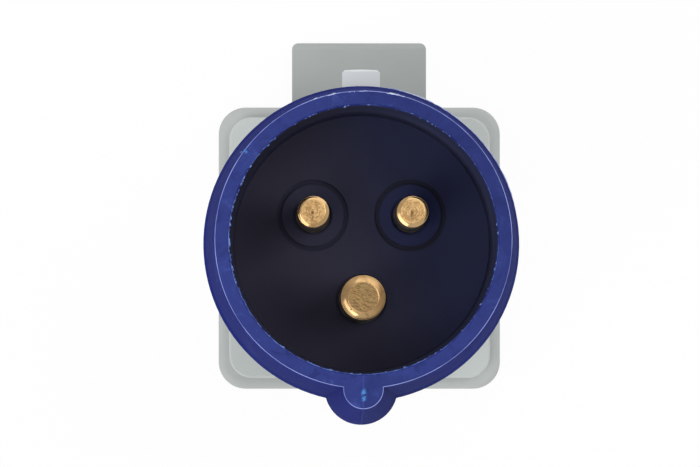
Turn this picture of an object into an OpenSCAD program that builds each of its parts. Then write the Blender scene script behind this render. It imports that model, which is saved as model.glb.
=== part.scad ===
// Compact plug adapter: a 16 A pin and sleeve plug in front,
// an earthed domestic outlet under a sprung lid behind.
// Millimetres. +Z runs along the plug's axis to its mouth, +Y to the retention lug and thumb tab, key at -Y.
// The origin is on the axis, at the lid's flat rear face, on which the adapter stands.

/* [Plug] */
// Length from the lid's rear face to the sleeve's mouth
overall_l = 92; // [90:0.5:110]
// Inner diameter of the sleeve at its mouth
mouth_bore = 41.8; // [41.4:0.1:42.4]
// Wall of the sleeve at its mouth
sleeve_wall = 2.35; // [2.1:0.05:2.6]
// How much the sleeve's outer radius grows from the mouth to the collar
outer_draft = 1.75; // [1:0.05:2]
// How much the cavity's radius shrinks from the mouth to the floor
inner_draft = 0.45; // [0.2:0.05:0.8]
// Depth of the cavity, mouth to floor
cavity_depth = 38; // [36:0.5:39]
// Thickness of the floor that holds the pins
floor_t = 5; // [4:0.5:6]
// How far the collar stands out from the sleeve's root
collar_step = 0.45; // [0.2:0.05:1]
// Thickness of the collar's rim
collar_t = 3.4; // [2.4:0.2:5]
// Width of the key at the mouth
key_mouth_w = 6.4; // [5.6:0.1:7]
// Width of the key at the collar
key_root_w = 11.8; // [9:0.1:12]
// Chamfer on the mouth's edges
mouth_edge = 0.25; // [0.1:0.05:0.5]

/* [Pins] */
// Diameter of the circle that the pins stand on
pin_circle_d = 18; // [17.6:0.1:18.4]
// Diameter of the line and neutral pins
live_pin_d = 5; // [4.8:0.1:5.2]
// Diameter of the earth pin
earth_pin_d = 7; // [6.8:0.1:7.2]
// How far the live pins' tips lie inside the mouth
live_pin_inset = 8; // [7:0.5:12]
// How far the earth pin's tip lies inside the mouth
earth_pin_inset = 3; // [2:0.5:6]
// Edge radius of the live pins' tips
live_tip_r = 0.7; // [0.4:0.1:1.2]
// Edge radius of the earth pin's tip
earth_tip_r = 1; // [0.6:0.1:1.6]
// Gap between a live pin and the ring groove round it
ring_gap = 2.5; // [2.3:0.1:3.2]
// Width of the ring groove
ring_w = 0.7; // [0.4:0.1:0.9]

/* [Housing] */
// Wall of the round neck
neck_wall = 1.8; // [1.5:0.1:2]
// Corner radius of the flange and the lid
flange_corner_r = 4.5; // [3.6:0.1:6]
// Thickness of the flange
flange_t = 2.8; // [2:0.1:4]
// Radius on the flange's front edge
flange_edge_r = 1.2; // [0.6:0.1:1.6]
// Corner radius of the square step
step_corner_r = 3.7; // [2.5:0.1:5]
// Height of the square step
step_h = 4.6; // [3:0.1:7]
// Radius on the step's front edge
step_edge_r = 0.4; // [0.2:0.1:0.8]
// Width of the retention lug
lug_w = 6.1; // [5:0.1:8]
// How far the lug stands out from the neck
lug_h = 7; // [6:0.1:8.6]
// Length of the lug, along the axis
lug_l = 5.4; // [4:0.2:8]
// Length of the grip ribs on the neck
grip_l = 20; // [12:1:22]

/* [Outlet] */
// Diameter of the outlet's recess
recess_d = 39; // [38.8:0.1:39.1]
// Depth of the outlet's recess
recess_depth = 17.5; // [17.3:0.1:17.9]
// Distance between the outlet's two contacts
contact_pitch = 19; // [18.8:0.1:19.2]
// Bore of the contact sleeves
contact_bore = 4.8; // [4.6:0.1:5]
// How far the two earth clips stand into the recess
clip_in = 3.9; // [3.6:0.1:4.2]

/* [Lid] */
// Height of the lid, plate and rim together
lid_h = 6; // [5.4:0.1:7]
// Thickness of the lid's plate
lid_t = 2.2; // [1.6:0.1:2.4]
// Thickness of the lid's rim
lid_wall = 1.5; // [1.2:0.1:1.8]
// Gap between lid and flange
lid_gap = 0.2; // [0.1:0.05:0.4]
// Width of the thumb tab
tab_w = 22.4; // [16:0.2:26]
// How far the tab stands out from the lid
tab_l = 11; // [7:0.2:14]
// Diameter of the hinge pin
hinge_pin_d = 1.6; // [1.4:0.1:1.8]
// Width of the hinge over its two ears
hinge_w = 7.4; // [7:0.2:9]

/* [Hidden] */
$fn = 96;

eps = 0.01;
slip = 0.05;                                // a turned or moulded piece in its hole
play = 0.15;                                // loose gap of an assembly
over = 1;                                   // how far a cut runs past the surface it opens
strip_t = 0.8;                              // brass strip

// stations along the axis, from the lid upwards
flange_z = lid_h + lid_gap;
lip_h = 2;                                  // round lip that reaches into the lid
lip_clear = 0.6;                            // between that lip and the lid's rim
rim_z = flange_z - lip_h;
shoulder_z = flange_z + flange_t + step_h;
insert_z = rim_z + recess_depth;            // face of the outlet
insert_t = 3;
ledge_z = insert_z + insert_t;              // the insert's plate lies against the ledge
ledge_t = 2.5;
floor_z = overall_l - cavity_depth;
floor_back_z = floor_z - floor_t;
collar_skirt = 3;                           // the collar reaches this far behind the floor
collar_z = floor_back_z - collar_skirt;
seal_t = 1.2;
neck_z = collar_z - seal_t;                 // front end of the neck

// pins
live_x = pin_circle_d / 2 * cos(30);
live_y = pin_circle_d / 2 * sin(30);
earth_y = -pin_circle_d / 2;
live_r = live_pin_d / 2;
earth_r = earth_pin_d / 2;
press_r = 0.2;                              // the fitted length is this much thicker
base_gap = 0.6;                             // clearance ring round the foot of each pin
base_h = 1.2;
pin_flange_out = 1.5;
pin_flange_t = 2.4;
pin_flange_z = floor_back_z - pin_flange_t;
tail_r = 2.4;
tail_out = 1;                               // how far the tails pass the retainer
retainer_t = 5;
retainer_z = floor_back_z - retainer_t;
tail_z = retainer_z - tail_out;
strip_z = tail_z - strip_t;                 // links and yoke lie against the tails

// screws
screw_r = 1.5;
screw_bite = 5;                             // thread length in the pins
head_r = 2.3;
head_t = 1.6;
small_screw_r = 1.1;
small_bite = 2.6;
small_head_r = 2;
small_head_t = 1.4;
drive_w = 0.6;
drive_h = 0.7;

// sleeve
bore_r = mouth_bore / 2;
mouth_r = bore_r + sleeve_wall;
root_r = mouth_r + outer_draft;
collar_r = root_r + collar_step;
collar_edge = 0.6;
root_flare = 2;                             // length over which the sleeve runs into the collar
key_y = mouth_r;                            // middle of the key
ring_r = live_r + ring_gap + ring_w;
ring_depth = 0.8;

// housing
recess_r = recess_d / 2;
neck_r = recess_r + neck_wall;
step_w = 2 * neck_r + 0.6;
flange_w = 2 * (neck_r + lip_clear + lid_wall);
lug_reach = neck_r + lug_h;
lug_corner = 0.5;                           // chamfer on the lug's outer corners
lug_edge = 0.3;                             // and on its front edge
root_in = 1;                                // how deep lug and ears root in the wall
grip_r = 0.7;
grip_out = 0.45;
grip_step = 7;                              // degrees between ribs
grip_count = 7;
spigot_r = recess_r - play;
spigot_t = 2;
spigot_z = tail_z + 0.3;
retainer_r = spigot_r - spigot_t - play;
clamp_post_r = 3;
clamp_in = 0.65;                            // from the posts to the spigot's outside
clamp_a = 45.5;                             // degrees
clamp_at = [for (s = [-1, 1])
    s * (spigot_r - clamp_in - clamp_post_r) * [-cos(clamp_a), sin(clamp_a)]];
clamp_ear = 0.6;                            // ledge ear round each post
retainer_screw_in = [[3.8, 225], [2.8, 52.3]]; // in from the retainer's edge, and direction in degrees
retainer_screw_at = [for (p = retainer_screw_in) (retainer_r - p[0]) * [cos(p[1]), sin(p[1])]];
ledge_in = 3;

// contacts in their carrier
contact_x = contact_pitch / 2;
contact_r = contact_bore / 2;
contact_wall = 0.8;
contact_or = contact_r + contact_wall;
contact_z = ledge_z + 0.6;
contact_top_z = strip_z - head_t - 0.4;
contact_slot = 0.6;
contact_grip_z = contact_z + 5;             // the spring slots start here
entry_gap = 0.4;                            // the plate's holes are wider than the contacts
entry_cone = 0.8;
carrier_wall = 1.7;
carrier_r = contact_or + carrier_wall;
foot_w = 3.2;
foot_h = 3;
foot_y = contact_or - strip_t / 2;          // middle of the contact's foot strip

// earth yoke
yoke_w = 6;
arm_in = 2;                                 // from the recess's wall to the arms' inner faces
arm_y = recess_r - arm_in;
clip_gap = recess_d - 2 * clip_in;          // between the two clips
clip_r = 14;                                // bow of the clips
clip_drop = 8.6;                            // from the insert's face to the middle of the bow
clip_z = insert_z - clip_drop;

// guide ribs of the recess
rib_w = 5;
rib_h = 1.7;
rib_back = 2;                               // they start this far inside the rim

// lid and hinge
gasket_out = 0.2;
gasket_wall = 2.2;
lid_gasket_t = rim_z - lid_t - slip;
edge_r = 1;
tab_reach = flange_w / 2 + tab_l;
tab_corner_r = 1.1;
barrel_wall = 0.9;
barrel_r = hinge_pin_d / 2 + barrel_wall;
hinge_y = -(flange_w / 2 + barrel_r + 0.3);
hinge_z = flange_z + 1.2;
ear_t = 1.2;
knuckle_t = 1;
wire_r = 0.25;
coil_gap = 0.3;
coil_r = hinge_pin_d / 2 + coil_gap + wire_r;

module at_live(side) translate([side * live_x, live_y, 0]) children();
module at_earth() translate([0, earth_y, 0]) children();
module at_contact(side) translate([side * contact_x, 0, 0]) children();
module at_each(places) for (p = places) translate([p[0], p[1], 0]) children();
module from(z) translate([0, 0, z]) children();

// Profile of a turned bar of height h with its far edge rounded
module bar_profile(r, h, e) {
    square([r, h - e]);
    translate([0, h - e - eps]) square([r - e, e + eps]);
    intersection() { translate([r - e, h - e]) circle(e); translate([r - e - eps, h - e - eps]) square(e + 1); }
}

// A square block with round corners and a rounded lower edge: turned posts joined by two bars
module soft_block(w, c, h, e) {
    for (x = [-1, 1], y = [-1, 1]) translate([x * (w / 2 - c), y * (w / 2 - c), h])
        mirror([0, 0, 1]) rotate_extrude() bar_profile(c, h, e);
    for (a = [0, 90]) rotate([90, 0, a]) translate([0, 0, c - w / 2]) linear_extrude(w - 2 * c) {
        translate([-w / 2, e]) square([w, h - e]);
        translate([e - w / 2, 0]) square([w - 2 * e, h]);
        for (s = [-1, 1]) translate([s * (w / 2 - e), e]) circle(e);
    }
}
module rounded_square(w, c) {
    square([w, w - 2 * c], center = true);
    square([w - 2 * c, w], center = true);
    for (x = [-1, 1], y = [-1, 1]) translate([x * (w / 2 - c), y * (w / 2 - c)]) circle(c);
}
module slab(w, c, z0, z1) from(z0) linear_extrude(z1 - z0) rounded_square(w, c);

// A screw with its head down and its shank upwards from z = 0; the drive slot is in the head
module screw(r, l, hr, ht) {
    difference() {
        from(-ht) cylinder(h = ht, r = hr);
        from(-ht - over) linear_extrude(drive_h + over) square([2 * (hr + over), drive_w], center = true);
    }
    cylinder(h = l, r = r);
}

// The blue moulding: drafted sleeve with its key, collar and floor, and the spigot and posts behind
module plug_shroud() color("royalblue") difference() {
    union() {
        rotate_extrude() polygon([[0, collar_z], [collar_r - collar_edge, collar_z],
            [collar_r, collar_z + collar_edge], [collar_r, collar_z + collar_t],
            [root_r, collar_z + collar_t + root_flare], [mouth_r, overall_l - mouth_edge],
            [mouth_r - mouth_edge, overall_l], [0, overall_l]]);
        translate([0, -key_y, collar_z]) {
            key_l = overall_l - collar_z;
            cylinder(h = key_l - mouth_edge, r1 = key_root_w / 2, r2 = key_mouth_w / 2);
            from(key_l - mouth_edge)
                cylinder(h = mouth_edge, r1 = key_mouth_w / 2, r2 = key_mouth_w / 2 - mouth_edge);
        }
        from(spigot_z) cylinder(h = collar_z - spigot_z + over, r = spigot_r);
        at_each(clamp_at) from(ledge_z + ledge_t) cylinder(h = collar_z - ledge_z - ledge_t, r = clamp_post_r);
    }
    // cavity for the mating sleeve
    from(floor_z) cylinder(h = cavity_depth, r1 = bore_r - inner_draft, r2 = bore_r);
    from(overall_l - mouth_edge) cylinder(h = mouth_edge + eps, r1 = bore_r, r2 = bore_r + mouth_edge);
    // room for the retainer, open to the rear, around the two posts
    difference() {
        from(spigot_z - over) cylinder(h = floor_back_z - spigot_z + over, r = spigot_r - spigot_t);
        at_each(clamp_at) cylinder(h = overall_l, r = clamp_post_r);
    }
    at_each(clamp_at) from(ledge_z) cylinder(h = clamp_tip_z() + play - ledge_z, r = screw_r + slip);
    at_each(retainer_screw_at) from(floor_back_z - over)
        cylinder(h = small_bite + play + over, r = small_screw_r + slip);
    for (s = [-1, 1]) at_live(s) {
        pin_hole(live_r);
        from(floor_z - ring_depth) difference() {
            cylinder(h = ring_depth + over, r = ring_r);
            from(-over) cylinder(h = ring_depth + 3 * over, r = ring_r - ring_w);
        }
    }
    at_earth() pin_hole(earth_r);
}
module pin_hole(r) {
    from(floor_back_z - over) cylinder(h = floor_t - base_h + over + eps, r = r + press_r + slip);
    from(floor_z - base_h) cylinder(h = base_h + over, r = r + base_gap);
}
function clamp_tip_z() = floor_back_z - 2;

// Turned pins: tapped tail, flange, fitted length, free length with a rounded tip
module pin(r, inset, tip_r) color("gold") difference() {
    rotate_extrude() {
        translate([0, tail_z]) square([tail_r, pin_flange_z - tail_z + eps]);
        translate([0, pin_flange_z]) square([r + pin_flange_out, pin_flange_t]);
        translate([0, floor_back_z - eps]) square([r + press_r, floor_t - base_h]);
        translate([0, floor_z - 2 * base_h]) bar_profile(r, overall_l - inset - floor_z + 2 * base_h, tip_r);
    }
    from(tail_z - over) cylinder(h = screw_bite + 2 * over, r = screw_r + slip);
}
module line_pin() at_live(1) pin(live_r, live_pin_inset, live_tip_r);
module neutral_pin() at_live(-1) pin(live_r, live_pin_inset, live_tip_r);
module earth_pin() at_earth() pin(earth_r, earth_pin_inset, earth_tip_r);

// Plate that holds the pins' flanges against the floor
module pin_retainer() color("slategray") difference() {
    from(retainer_z) cylinder(h = retainer_t, r = retainer_r);
    at_each(clamp_at) cylinder(h = overall_l, r = clamp_post_r + play);
    at_each(retainer_screw_at) cylinder(h = overall_l, r = small_screw_r + slip);
    for (s = [-1, 1]) at_live(s) retainer_hole(live_r);
    at_earth() retainer_hole(earth_r);
}
module retainer_hole(r) {
    cylinder(h = overall_l, r = tail_r + slip);
    from(pin_flange_z) cylinder(h = pin_flange_t + over, r = r + pin_flange_out + play);
}
module retainer_screws() color("silver") at_each(retainer_screw_at)
    from(retainer_z) screw(small_screw_r, retainer_t + small_bite, small_head_r, small_head_t);

module terminal_screws() color("silver") {
    for (s = [-1, 1]) at_live(s) terminal_screw();
    at_earth() terminal_screw();
}
module terminal_screw() from(strip_z) screw(screw_r, strip_t + screw_bite, head_r, head_t);

// Brass strip from a pin's tail to the foot of its contact
module link(side) color("goldenrod") {
    from_p = [side * live_x, live_y];
    to_p = [side * contact_x, -foot_y];
    run = to_p - from_p;
    from(strip_z) linear_extrude(strip_t) difference() {
        union() {
            translate(from_p) circle(tail_r + 0.4);
            translate(from_p) rotate(atan2(run[1], run[0]))
                translate([0, -foot_w / 2]) square([norm(run), foot_w]);
            translate(to_p) circle(foot_w / 2);
        }
        translate(from_p) circle(screw_r + slip);
    }
}
module line_link() link(1);
module neutral_link() link(-1);

// Slotted sleeve that grips one pin of a domestic plug, with a foot strip up to its link
module contact(side) color("goldenrod") at_contact(side) {
    long_l = contact_top_z - contact_z;
    difference() {
        from(contact_z) cylinder(h = long_l, r = contact_or);
        from(contact_z - over) cylinder(h = long_l + 2 * over, r = contact_r);
        from(contact_grip_z) linear_extrude(long_l)
            square([2 * contact_or + over, contact_slot], center = true);
        from(contact_z - over) linear_extrude(2 * over)
            square([contact_slot, 2 * contact_or + over], center = true);
    }
    from(contact_top_z - foot_h) linear_extrude(strip_z - contact_top_z + foot_h)
        translate([-foot_w / 2, -contact_or - eps]) intersection() {
            square([foot_w, strip_t]);
            translate([foot_w / 2, contact_or]) difference() {
                circle(2 * contact_or);
                circle(contact_r + strip_t / 3);
            }
        }
}
module line_contact() contact(1);
module neutral_contact() contact(-1);

// Folded strap: base across the earth pin's tail, two arms down the recess, each ending in a bowed clip
module earth_yoke() color("gold") difference() {
    union() {
        from(strip_z) linear_extrude(strip_t) square([yoke_w, 2 * (arm_y + strip_t)], center = true);
        for (s = [0, 1]) mirror([0, s, 0]) rotate([90, 0, 90]) translate([0, 0, -yoke_w / 2])
            linear_extrude(yoke_w) clip_profile();
    }
    at_earth() from(strip_z - over) cylinder(h = strip_t + 2 * over, r = screw_r + slip);
}
module clip_profile() {
    mid = clip_gap / 2 + clip_r;
    reach = sqrt(pow(clip_r, 2) - pow(mid - arm_y, 2));
    join = strip_t / 4;
    translate([arm_y, clip_z + reach - join]) square([strip_t, strip_z + strip_t - clip_z - reach + join]);
    intersection() {
        difference() {
            translate([mid, clip_z]) circle(clip_r);
            translate([mid, clip_z]) circle(clip_r - strip_t);
        }
        translate([0, clip_z - reach]) square([arm_y + strip_t, 2 * reach]);
    }
}

// Flat ring between the collar and the neck
module neck_seal() color("dimgray") from(neck_z) difference() {
    cylinder(h = seal_t, r = neck_r - 2 * play);
    from(-over) cylinder(h = seal_t + 2 * over, r = spigot_r + slip);
}

// The grey moulding: flange, square step, neck with lug and grip ribs, recess with guide ribs, ledge, ears
module housing() color("lightgray") difference() {
    union() {
        facing_up(flange_z + flange_t) soft_block(flange_w, flange_corner_r, flange_t, flange_edge_r);
        facing_up(shoulder_z) soft_block(step_w, step_corner_r, shoulder_z - flange_z, step_edge_r);
        from(rim_z) cylinder(h = neck_z - rim_z, r = neck_r);
        lug();
        for (s = [0, 1]) mirror([s, 0, 0]) {
            ear();
            grip();
        }
    }
    difference() {
        from(rim_z - over) cylinder(h = neck_z - rim_z + 2 * over, r = recess_r);
        // guide ribs
        for (s = [0, 180]) rotate(s) translate([recess_r - rib_h, -rib_w / 2, rim_z + rib_back])
            cube([2 * rib_h, rib_w, insert_z - rim_z - rib_back]);
        // ledge for the insert, with an ear under each screw post
        difference() {
            from(ledge_z) cylinder(h = ledge_t, r = recess_r + over);
            difference() {
                from(ledge_z - over) cylinder(h = ledge_t + 2 * over, r = recess_r - ledge_in);
                at_each(clamp_at) cylinder(h = overall_l, r = clamp_post_r + clamp_ear);
            }
            from(ledge_z - over) linear_extrude(ledge_t + 2 * over)
                square([yoke_w + 2 * play, recess_d + 2 * over], center = true);
            at_each(clamp_at) cylinder(h = overall_l, r = screw_r + slip);
        }
    }
    hinge_bore(slip / 2);
}
module facing_up(z) translate([0, 0, z]) mirror([0, 0, 1]) children();
// Retention lug: its rear face is steep, where a mating lid's catch holds it
module lug() intersection() {
    from(neck_z - lug_l) linear_extrude(lug_l) intersection() {
        circle(lug_reach);
        polygon([[-lug_w / 2, 0], [lug_w / 2, 0], [lug_w / 2, lug_reach - lug_corner],
            [lug_w / 2 - lug_corner, lug_reach], [lug_corner - lug_w / 2, lug_reach],
            [-lug_w / 2, lug_reach - lug_corner]]);
    }
    rotate([90, 0, 90]) translate([0, 0, -lug_w]) linear_extrude(2 * lug_w)
        polygon([[neck_r - root_in, neck_z - lug_l], [lug_reach + over, neck_z - lug_l],
            [lug_reach + over, neck_z - over - lug_edge], [lug_reach - lug_edge, neck_z],
            [neck_r - root_in, neck_z]]);
}
module ear() translate([hinge_w / 2 - ear_t, 0, 0]) rotate([90, 0, 90]) linear_extrude(ear_t) {
    translate([hinge_y, hinge_z]) circle(barrel_r);
    translate([hinge_y, flange_z + eps])
        square([2 * root_in - hinge_y - flange_w / 2, hinge_z + barrel_r - flange_z - 0.4]);
}
// Row of grip ribs down one side of the neck
module grip() for (i = [0 : grip_count - 1]) rotate((i - (grip_count - 1) / 2) * grip_step)
    translate([neck_r + grip_out - grip_r, 0, (shoulder_z + neck_z - grip_l) / 2]) {
        cylinder(h = grip_l, r = grip_r);
        from(grip_l) cylinder(h = grip_r, r1 = grip_r, r2 = grip_r / 4);
        from(-grip_r) cylinder(h = grip_r, r1 = grip_r / 4, r2 = grip_r);
    }
module hinge_bore(gap) translate([-hinge_w, hinge_y, hinge_z]) rotate([0, 90, 0])
    cylinder(h = 2 * hinge_w, r = hinge_pin_d / 2 + gap);

// Face plate of the outlet with the carrier for its contacts
module socket_insert() color("whitesmoke") difference() {
    union() {
        from(insert_z) cylinder(h = insert_t, r = recess_r - play);
        from(ledge_z - over) linear_extrude(contact_top_z - ledge_z + over) {
            square([contact_pitch, 2 * carrier_r], center = true);
            for (s = [-1, 1]) translate([s * contact_x, 0]) circle(carrier_r);
        }
    }
    for (s = [-1, 1]) {
        at_contact(s) {
            from(insert_z - over) cylinder(h = overall_l, r = contact_r + entry_gap);
            from(insert_z)
                cylinder(h = entry_cone, r1 = contact_r + entry_gap + entry_cone, r2 = contact_r + entry_gap);
            from(contact_z) cylinder(h = overall_l, r = contact_or + slip);
            // slot for the contact's foot strip
            from(contact_top_z - foot_h - play) linear_extrude(foot_h + 2 * over)
                translate([-foot_w / 2 - slip, -contact_or - play]) square([foot_w + 2 * slip, contact_or]);
        }
        // openings for the earth arms
        from(insert_z - over) linear_extrude(insert_t + 2 * over)
            translate([-yoke_w / 2 - play, s > 0 ? arm_y - play : -recess_r])
                square([yoke_w + 2 * play, arm_in + play]);
    }
    at_each(clamp_at) {
        from(insert_z - over) cylinder(h = insert_t + 2 * over, r = screw_r + slip);
        from(insert_z - over) cylinder(h = head_t + over, r = head_r + slip);
    }
    // the carrier clears the shroud's posts
    at_each(clamp_at) from(ledge_z + eps) cylinder(h = overall_l, r = clamp_post_r + 2 * clamp_ear);
}
module clamp_screws() color("silver") at_each(clamp_at)
    from(insert_z + head_t) screw(screw_r, clamp_tip_z() - insert_z - head_t, head_r, head_t);

// Lid: shallow tray with a thumb tab and two hinge knuckles
module lid() color("gainsboro") difference() {
    union() {
        difference() {
            soft_block(flange_w, flange_corner_r, lid_h, edge_r);
            slab(flange_w - 2 * lid_wall, flange_corner_r - lid_wall, lid_t, lid_h + over);
        }
        tab();
        for (s = [0, 1]) mirror([s, 0, 0]) knuckle();
    }
    hinge_bore(slip);
}
module tab() intersection() {
    start_y = flange_w / 2 - lid_wall;
    linear_extrude(lid_t) {
        translate([tab_corner_r - tab_w / 2, start_y]) square([tab_w - 2 * tab_corner_r, tab_reach - start_y]);
        translate([-tab_w / 2, start_y]) square([tab_w, tab_reach - start_y - tab_corner_r]);
        for (s = [-1, 1]) translate([s * (tab_w / 2 - tab_corner_r), tab_reach - tab_corner_r])
            circle(tab_corner_r);
    }
    // rounded end
    translate([-tab_w, 0, 0]) rotate([90, 0, 90]) linear_extrude(2 * tab_w) {
        square([tab_reach - lid_t / 2, lid_t]);
        translate([tab_reach - lid_t / 2, lid_t / 2]) circle(lid_t / 2);
    }
}
module knuckle() translate([hinge_w / 2 - ear_t - play - knuckle_t, 0, 0]) rotate([90, 0, 90])
    linear_extrude(knuckle_t) {
        translate([hinge_y, hinge_z]) circle(barrel_r);
        polygon([[hinge_y - barrel_r, hinge_z], [hinge_y - barrel_r, hinge_z - barrel_wall],
            [-flange_w / 2, edge_r], [lid_wall / 2 - flange_w / 2, edge_r],
            [lid_wall / 2 - flange_w / 2, lid_h], [hinge_y + barrel_r, lid_h], [hinge_y, hinge_z]]);
    }

// Ring in the lid that the recess's lip presses on
module lid_gasket() color("dimgray") from(lid_t) difference() {
    cylinder(h = lid_gasket_t, r = neck_r - gasket_out);
    from(-over) cylinder(h = lid_gasket_t + 2 * over, r = neck_r - gasket_out - gasket_wall);
}

module hinge_pin() color("silver") translate([-hinge_w / 2, hinge_y, hinge_z]) rotate([0, 90, 0])
    cylinder(h = hinge_w, r = hinge_pin_d / 2);

// Torsion spring between the knuckles: turns of wire, one leg against the flange and one against the lid
module lid_spring() color("silver") {
    pitch = 2 * wire_r - 2 * eps;
    turns = floor((hinge_w - 2 * (ear_t + knuckle_t + 2 * play)) / (2 * wire_r + eps));
    end_x = (turns - 1) / 2 * pitch;
    for (i = [0 : turns - 1]) translate([i * pitch - end_x, hinge_y, hinge_z])
        rotate([0, 90, 0]) rotate_extrude() translate([coil_r, 0]) circle(wire_r, $fn = 24);
    leg_y = -flange_w / 2 - wire_r - slip;
    translate([end_x, leg_y, hinge_z]) cylinder(h = flange_z + flange_t - hinge_z, r = wire_r - 2 * eps);
    translate([-end_x, leg_y, 2 * edge_r]) cylinder(h = hinge_z - 2 * edge_r, r = wire_r - 2 * eps);
}

plug_shroud();
line_pin();
neutral_pin();
earth_pin();
pin_retainer();
retainer_screws();
terminal_screws();
line_link();
neutral_link();
earth_yoke();
neck_seal();
housing();
socket_insert();
line_contact();
neutral_contact();
clamp_screws();
lid();
lid_gasket();
hinge_pin();
lid_spring();
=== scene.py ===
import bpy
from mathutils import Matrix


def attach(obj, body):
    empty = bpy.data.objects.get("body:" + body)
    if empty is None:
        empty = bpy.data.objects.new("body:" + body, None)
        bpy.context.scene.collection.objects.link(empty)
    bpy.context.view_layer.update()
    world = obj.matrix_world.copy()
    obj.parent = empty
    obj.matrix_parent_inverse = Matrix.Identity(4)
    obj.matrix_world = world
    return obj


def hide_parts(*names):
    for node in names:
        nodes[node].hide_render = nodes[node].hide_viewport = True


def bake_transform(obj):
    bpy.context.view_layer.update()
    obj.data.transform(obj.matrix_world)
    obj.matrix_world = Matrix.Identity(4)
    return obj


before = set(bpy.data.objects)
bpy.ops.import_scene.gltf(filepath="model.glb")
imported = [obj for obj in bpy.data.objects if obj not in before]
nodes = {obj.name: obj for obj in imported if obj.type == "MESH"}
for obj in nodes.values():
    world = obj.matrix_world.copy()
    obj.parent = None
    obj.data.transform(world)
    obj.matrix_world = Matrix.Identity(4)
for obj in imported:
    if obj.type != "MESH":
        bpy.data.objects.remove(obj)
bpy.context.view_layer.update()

import math
import random

import bmesh
import bpy
from mathutils import Matrix, Vector

random.seed(16)
mm = 0.001
print("frame loaded:", len(nodes), "parts")

# sizes of the adapter, in millimetres, from its mouth down
adapter = {
    "length": 92.0,
    "boreRadius": 20.9,
    "floorHeight": 54.0,
    "pinCircle": 9.0,
}
livePlaces = [(side * adapter["pinCircle"] * math.cos(math.radians(30)), adapter["pinCircle"] * 0.5)
              for side in (1, -1)]


def newObject(name, mesh, body):
    piece = bpy.data.objects.new(name, mesh)
    bpy.context.scene.collection.objects.link(piece)
    if body:                                         # a piece given no body stays unattached
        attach(piece, body)
    return piece


def smoothByAngle(piece, degrees):
    piece.data.polygons.foreach_set("use_smooth", [True] * len(piece.data.polygons))
    piece.data.set_sharp_from_angle(angle=math.radians(degrees))


def turn(name, profile, steps, body, place):
    # lathe a profile of (radius, height) pairs in millimetres round the Z axis
    work = bmesh.new()
    rows = []
    for radius, height in profile:
        if radius < 1e-6:
            rows.append([work.verts.new((0, 0, height * mm))])
            continue
        rows.append([work.verts.new((radius * mm * math.cos(2 * math.pi * i / steps),
                                     radius * mm * math.sin(2 * math.pi * i / steps), height * mm))
                     for i in range(steps)])
    for low, high in zip(rows, rows[1:]):
        for i in range(steps):
            j = (i + 1) % steps
            corners = [low[i % len(low)], low[j % len(low)], high[j % len(high)], high[i % len(high)]]
            corners = list(dict.fromkeys(corners))   # a row of one point gives triangles
            if len(corners) > 2:
                work.faces.new(corners)
    bmesh.ops.recalc_face_normals(work, faces=work.faces)
    bmesh.ops.translate(work, vec=Vector(place) * mm, verts=work.verts)
    mesh = bpy.data.meshes.new(name)
    work.to_mesh(mesh)
    work.free()
    return newObject(name, mesh, body)


def tube(name, points, radii, sides, body, closed=False):
    # sweep a ring of the given radii along points, all in millimetres
    work = bmesh.new()
    count = len(points)
    rings = []
    lift = None
    for i in range(count):
        if closed:
            ahead = points[(i + 1) % count] - points[i - 1]
        else:
            ahead = points[min(i + 1, count - 1)] - points[max(i - 1, 0)]
        ahead.normalize()
        if lift is None:
            lift = ahead.orthogonal().normalized()
        lift = (lift - ahead * lift.dot(ahead)).normalized()
        side = ahead.cross(lift)
        rings.append([work.verts.new((points[i] + (lift * math.cos(2 * math.pi * k / sides) +
                      side * math.sin(2 * math.pi * k / sides)) * radii[i]) * mm) for k in range(sides)])
    pairs = list(zip(rings, rings[1:]))
    if closed:
        pairs.append((rings[-1], rings[0]))
    else:
        work.faces.new(rings[0])
        work.faces.new(rings[-1])
    for one, two in pairs:
        for k in range(sides):
            work.faces.new((one[k], one[(k + 1) % sides], two[(k + 1) % sides], two[k]))
    bmesh.ops.recalc_face_normals(work, faces=work.faces)
    mesh = bpy.data.meshes.new(name)
    work.to_mesh(mesh)
    work.free()
    piece = newObject(name, mesh, body)
    smoothByAngle(piece, 60)
    return piece


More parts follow.
